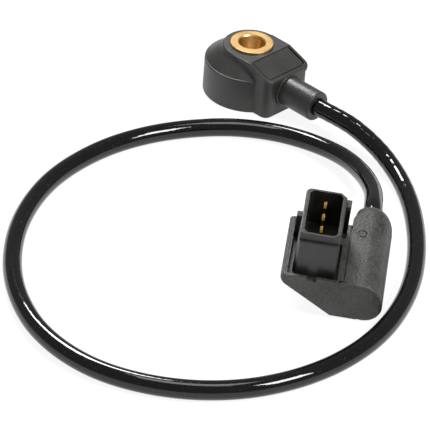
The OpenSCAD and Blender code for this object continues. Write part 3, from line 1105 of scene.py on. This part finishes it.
    def socket(self, smooth: bpy.types.Material) -> bpy.types.Object:
        """Makes the socket: plate, shroud with its pad, and stops.

        Args:
            smooth: Finish of the socket.

        Returns:
            The socket.
        """
        low, high = self.shroud_low, self.shroud_high
        shroud = slab("socket_moulding", low, high)
        round_edges(shroud, standing((low[0], high[1])), 1.8, 6)
        round_edges(shroud, standing((low[0], low[1]), (high[0], high[1])), 1.1, 5)
        round_edges(shroud, level(2, high[2]), 0.25, 3)
        for y, leg, facet_z in ((low[1], -2.35, 24.8), (high[1], 2.0, 26.0)):
            slice_off(
                shroud, (high[0], y, facet_z), (1 / abs(leg), 1 / leg, 1 / (high[2] - facet_z))
            )
        sunk = self.plate_low + 0.3
        pad = slab("pad", (low[0] + 0.4, 2.5, sunk), (high[0] - 0.03, 4.2, 25.2))
        round_edges(pad, lambda one, other: level(1, 2.5)(one, other)
                    and not level(2, sunk)(one, other), 0.4, 4)
        draft = slab("draft", (-13.4, 4.1, sunk + 0.1), (-12.3, 19.6, 26))
        slice_off(draft, (-13.4, 0, self.plate_low), (-15.6, 0, 0.7))
        right_stop = slab("right_stop", (-0.8, 19.7, 13.55), (1.1, 23.0, 26.0))
        round_edges(right_stop, standing((1.1, 19.7), (1.1, 23.0)), 0.15, 3)
        round_edges(right_stop, level(2, 26.0), 0.25, 3)
        left_stop = slab("left_stop", (-14.55, 19.1, sunk - 0.1), (-12.2, 21.6, 20.0))
        round_edges(left_stop, level(2, 20.0), 0.3, 3)
        plates = [
            slab("plate", (-14.6, 1, self.plate_low), (0.3, 16.6, self.plate_high)),
            slab("plate_far", (-14.58, 8, self.plate_low + 0.02),
                 (-0.55, 25.2, self.plate_high - 0.02)),
        ]
        apply_tools(shroud, Fit.JOIN, [pad, draft, right_stop, left_stop, *plates])
        sunk_band = slab("sunk_band", (-14, 2, 25.25), (1, low[1] + 0.4, high[2] - 0.9))
        apply_tools(shroud, Fit.CUT, [sunk_band])
        opening = slab("opening", (-11.6, 3.7, 15.5), (-1.7, 22.4, 30))
        round_edges(opening, standing(), 1.7, 7)
        slots = [
            slab("blade_slot", (-7.05, y - 1.4, 5), (-6.25, y + 1.4, 16.5))
            for y in (7.8, 13.2, 18.6)
        ]
        stop_slot = slab("stop_slot", (-0.25, 19.0, 15), (0.85, 22.2, 24.6))
        apply_tools(shroud, Fit.CUT, [opening, stop_slot, *slots])
        self.lay(shroud)
        return finish_piece(shroud, smooth, "connector_socket")

    def build(self, grained: bpy.types.Material, smooth: bpy.types.Material) -> None:
        """Makes both mouldings.

        Args:
            grained: Finish of the back shell.
            smooth: Finish of the socket.
        """
        self.pieces = [self.back_shell(grained), self.socket(smooth)]


@dataclass
class Studio:
    """Camera, lamps and floor."""

    azimuth: float = 42.5
    elevation: float = 33.9
    roll: float = 4.5
    distance: float = 1021.7
    lens: float = 276.3
    target: tuple[float, float, float] = (45.34, -60.73, 0.0)

    def back(self) -> Vector:
        """Unit vector from the target to the camera."""
        a, e = math.radians(self.azimuth), math.radians(self.elevation)
        return Vector((math.sin(a) * math.cos(e), -math.cos(a) * math.cos(e), math.sin(e)))

    def camera(self) -> None:
        """Sets the camera where the photograph was taken from."""
        data = bpy.data.cameras.new("camera")
        data.lens, data.sensor_width = self.lens, 36.0
        data.clip_start, data.clip_end = 0.05, 20.0
        camera = bpy.data.objects.new("camera", data)
        bpy.context.scene.collection.objects.link(camera)
        camera.location = Vector(self.target) * MM + self.back() * self.distance * MM
        camera.rotation_mode = "QUATERNION"
        facing = (-self.back()).to_track_quat("-Z", "Y")
        camera.rotation_quaternion = facing @ Quaternion((0, 0, 1), math.radians(self.roll))
        bpy.context.scene.camera = camera

    def lamp(self, name: str, place: tuple[float, float, float], size: float, watts: float) -> None:
        """Adds one soft square lamp that faces the object.

        Args:
            name: Name of the lamp.
            place: Its centre in metres.
            size: Length of its side in metres.
            watts: Its power.
        """
        data = bpy.data.lights.new(name, "AREA")
        data.size, data.energy = size, watts
        lamp = bpy.data.objects.new(name, data)
        bpy.context.scene.collection.objects.link(lamp)
        lamp.location = place
        aim = Vector(self.target) * MM - Vector(place)
        lamp.rotation_mode = "QUATERNION"
        lamp.rotation_quaternion = aim.to_track_quat("-Z", "Y")

    def floor(self) -> None:
        """Adds a pale floor that renders white and keeps a faint shadow."""
        bpy.ops.object.select_all(action="DESELECT")
        bpy.ops.mesh.primitive_plane_add(size=6.0, location=(0, 0, 0))
        floor = bpy.context.object
        floor.name = "floor"
        material, tree, surface = new_material("white_sweep")
        surface.inputs["Base Color"].default_value = linear("#f4f4f4")
        surface.inputs["Roughness"].default_value = 0.9
        rays = add_node(tree, "ShaderNodeLightPath")
        seen = add_node(
            tree, "ShaderNodeMath", {"operation": "MAXIMUM"},
            links={0: rays.outputs["Is Camera Ray"], 1: rays.outputs["Is Glossy Ray"]},
        ).outputs[0]
        share = add_node(
            tree, "ShaderNodeMath", {"operation": "MULTIPLY"}, {1: 0.82}, {0: seen}
        ).outputs[0]
        glow = add_node(tree, "ShaderNodeEmission", values={"Strength": 1.1}).outputs[0]
        mixed = add_node(
            tree, "ShaderNodeMixShader",
            links={0: share, 1: surface.outputs[0], 2: glow},
        ).outputs[0]
        tree.links.new(mixed, tree.nodes["Material Output"].inputs["Surface"])
        dress(floor, material)

    def world(self) -> None:
        """Sets an even white surround, as in a light tent."""
        world = bpy.data.worlds.new("tent")
        bpy.context.scene.world = world
        world.use_nodes = True
        tree = world.node_tree
        rays = add_node(tree, "ShaderNodeLightPath")
        strength = add_node(
            tree, "ShaderNodeMapRange", values={1: 0.0, 2: 1.0, 3: 0.24, 4: 1.0},
            links={0: rays.outputs["Is Camera Ray"]},
        ).outputs[0]
        tree.links.new(strength, tree.nodes["Background"].inputs["Strength"])
        tree.nodes["Background"].inputs["Color"].default_value = (1, 1, 1, 1)

    def build(self) -> None:
        """Sets up the whole studio."""
        self.camera()
        self.floor()
        self.world()
        self.lamp("key", (-0.5, 0.25, 0.75), 0.28, 6.5)
        self.lamp("fill", (0.8, 0.1, 0.8), 0.35, 9.0)
        self.lamp("overhead", (0.0, 0.0, 1.1), 0.5, 3.0)
        bpy.context.scene.view_settings.view_transform = "Standard"


def main() -> None:
    """Builds every piece in order."""
    logging.basicConfig(level=logging.INFO, format="%(message)s", stream=sys.stdout)
    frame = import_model()
    nodes = frame["nodes"]
    Studio().build()

    housing = MouldedNylon("moulded_nylon_body", "#272726", "#343432", 0.4, Grain.SATIN, 0.05)
    shell = MouldedNylon("sparked_nylon_shell", "#141413", "#4c4c48", 0.44, Grain.SPARKED, 0.16)
    socket = MouldedNylon("polished_nylon_socket", "#20201f", "#2e2e2c", 0.36, Grain.POLISHED, 0.05)
    cable = Cable().build(nodes, CableVinyl().material())
    SensorBody().build(housing.material())
    connector = Connector()
    connector.build(shell.material(), socket.material())

    brass = TurnedMetal("turned_brass", "#dcb980", "#d2ab6c", 0.34)
    steel = TurnedMetal("turned_steel", "#a9abae", "#8b8e92", 0.32)
    dark_steel = TurnedMetal("phosphated_spring_steel", "#4b4d50", "#35373a", 0.45)
    zinc = TurnedMetal("zinc_plated_steel", "#b9bcc0", "#989ca1", 0.3)
    bronze = PlatedSheet("tinned_bronze_sheet", "#c8ab73", "#a98a52", 0.3)
    tin = PlatedSheet("tin_plated_sheet", "#b8b7b2", "#97968f", 0.35)
    gold = PlatedSheet("gold_plated_blade", "#e0b75c", "#c79a41", 0.22)
    film = DrawnPlastic("polyimide_film", "#a86a1e", "#bd7f2c", 0.25)
    sleeve = DrawnPlastic("natural_plastic_sleeve", "#ddd6c2", "#e8e2d2", 0.4)
    ceramic = DrawnPlastic("fired_piezo_ceramic", "#ddd6c6", "#efe9db", 0.55)
    red = DrawnPlastic("red_wire_insulation", "#9c2a20", "#b1362a", 0.35)
    white = DrawnPlastic("white_wire_insulation", "#dedbd2", "#ebe9e2", 0.35)
    finishes = {
        "insulating_sleeve": sleeve, "lower_insulating_washer": film,
        "lower_contact_disc": bronze, "piezo_ring": ceramic, "upper_contact_disc": bronze,
        "upper_insulating_washer": film, "seismic_mass": steel, "disc_spring": dark_steel,
        "clamping_nut": zinc, "signal_lead": red, "return_lead": white,
        "stub_crimp_ferrule": tin, "connector_crimp_ferrule": tin, "blade_terminal_1": gold,
        "blade_terminal_2": gold, "blade_terminal_3": gold, "connector_lead_1": red,
        "connector_lead_2": white, "connector_lead_3": tin,
    }
    TurnedBush().build(brass.material())
    made: dict[str, bpy.types.Material] = {}
    for node, finish in finishes.items():
        if finish.name not in made:
            made[finish.name] = finish.material()
        dress(nodes[node], made[finish.name])
        LOG.info("%s: %s", node, finish.name)

    tuple(v * MM for v in Cable().stub_end)
    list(connector.pieces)


if __name__ == "__main__":
    main()
